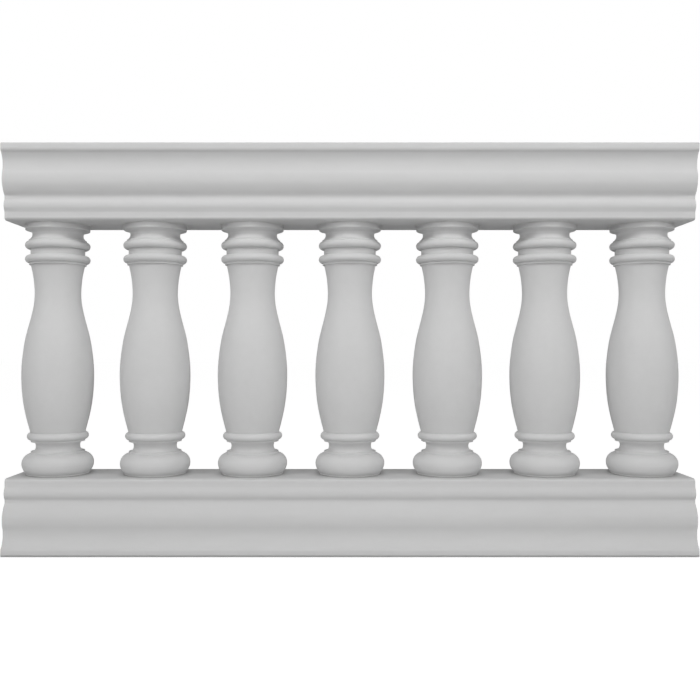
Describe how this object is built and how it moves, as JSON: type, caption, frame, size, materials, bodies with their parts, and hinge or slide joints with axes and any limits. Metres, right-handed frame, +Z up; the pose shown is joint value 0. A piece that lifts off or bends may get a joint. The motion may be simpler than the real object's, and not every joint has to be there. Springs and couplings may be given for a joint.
{
  "type": "fibreglass balustrade section",
  "caption": "Moulded fibreglass balustrade section: turned vase balusters between a moulded top rail and a moulded bottom rail, hollow rails with bolted end plates.",
  "frame": {"origin": "centre of the underside, on the floor", "axes": "+X along the rails, +Z up, front face towards -Y"},
  "size_m": [1.5414, 0.2168, 0.9144],
  "materials": {
    "baluster_gelcoat": "satin",
    "rail_gelcoat": "satin",
    "end_plate_laminate": "matte"
  },
  "bodies": {
    "root": {"baluster_1": "baluster_gelcoat", "baluster_2": "baluster_gelcoat", "baluster_3": "baluster_gelcoat", "baluster_4": "baluster_gelcoat", "baluster_5": "baluster_gelcoat", "baluster_6": "baluster_gelcoat", "baluster_7": "baluster_gelcoat", "top_rail_moulding": "rail_gelcoat", "top_rail_cap_board": "rail_gelcoat", "bottom_rail_moulding": "rail_gelcoat", "bottom_rail_base_board": "rail_gelcoat", "top_rail_left_end_plate": "end_plate_laminate", "top_rail_right_end_plate": "end_plate_laminate", "bottom_rail_left_end_plate": "end_plate_laminate", "bottom_rail_right_end_plate": "end_plate_laminate"}
  },
  "joints": []
}
